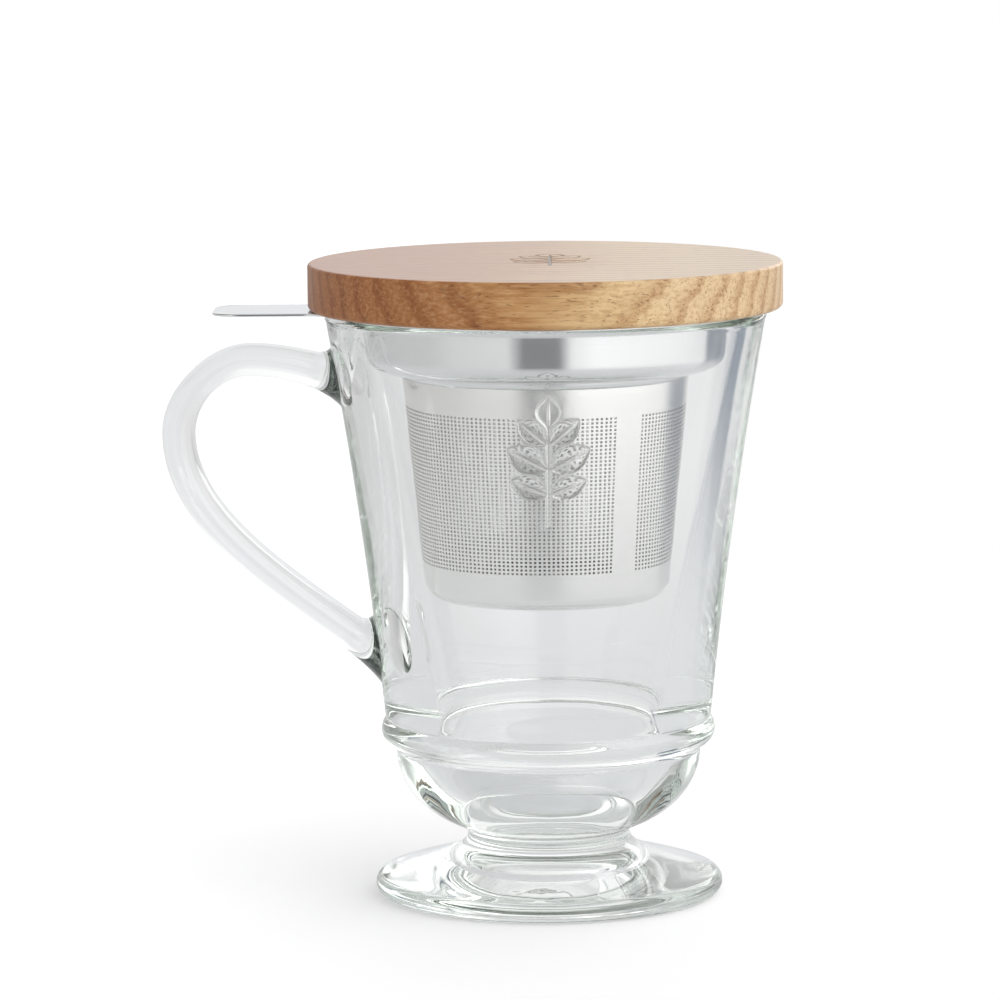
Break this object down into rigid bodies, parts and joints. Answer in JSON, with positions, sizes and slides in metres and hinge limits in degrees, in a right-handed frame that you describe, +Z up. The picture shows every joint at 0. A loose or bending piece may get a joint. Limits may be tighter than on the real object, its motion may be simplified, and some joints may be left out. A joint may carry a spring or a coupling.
{
  "type": "lidded tea mug with infuser",
  "caption": "Footed pressed-glass tea mug with a side handle, a lift-out steel strainer basket with a lifting tab, and a loose turned wooden lid with a seal ring.",
  "frame": {"origin": "centre of the foot's contact ring, on the plane the mug stands on", "axes": "+Z up along the glass's own axis; the handle and the infuser's tab point to -X; +Y is to the back when the handle is on the viewer's left"},
  "size_m": [0.1311, 0.1, 0.1346],
  "materials": {
    "clear_glass": "clear pressed glass with a faint green-grey tint in its thick edges, fire-polished rim",
    "pressed_steel": "bright satin stainless steel sheet, turned on a lathe",
    "etched_steel": "satin stainless steel sheet with etched holes",
    "oiled_wood": "oiled hardwood with fine open grain, turned and sanded smooth",
    "silicone": "milky translucent silicone, matt"
  },
  "bodies": {
    "mug": {"glass_mug": "clear_glass"},
    "infuser": {"infuser_collar": "pressed_steel", "infuser_wall": "etched_steel", "infuser_base": "etched_steel"},
    "lid": {"lid_disc": "oiled_wood", "lid_seal": "silicone"}
  },
  "joints": [
    {"name": "infuser_lift", "type": "slide", "parent": "mug", "child": "infuser", "axis": [0, 0, 1], "range_m": [0, 0.075]},
    {"name": "lid_lift", "type": "slide", "parent": "infuser", "child": "lid", "axis": [0, 0, 1], "range_m": [0, 0.05]}
  ]
}
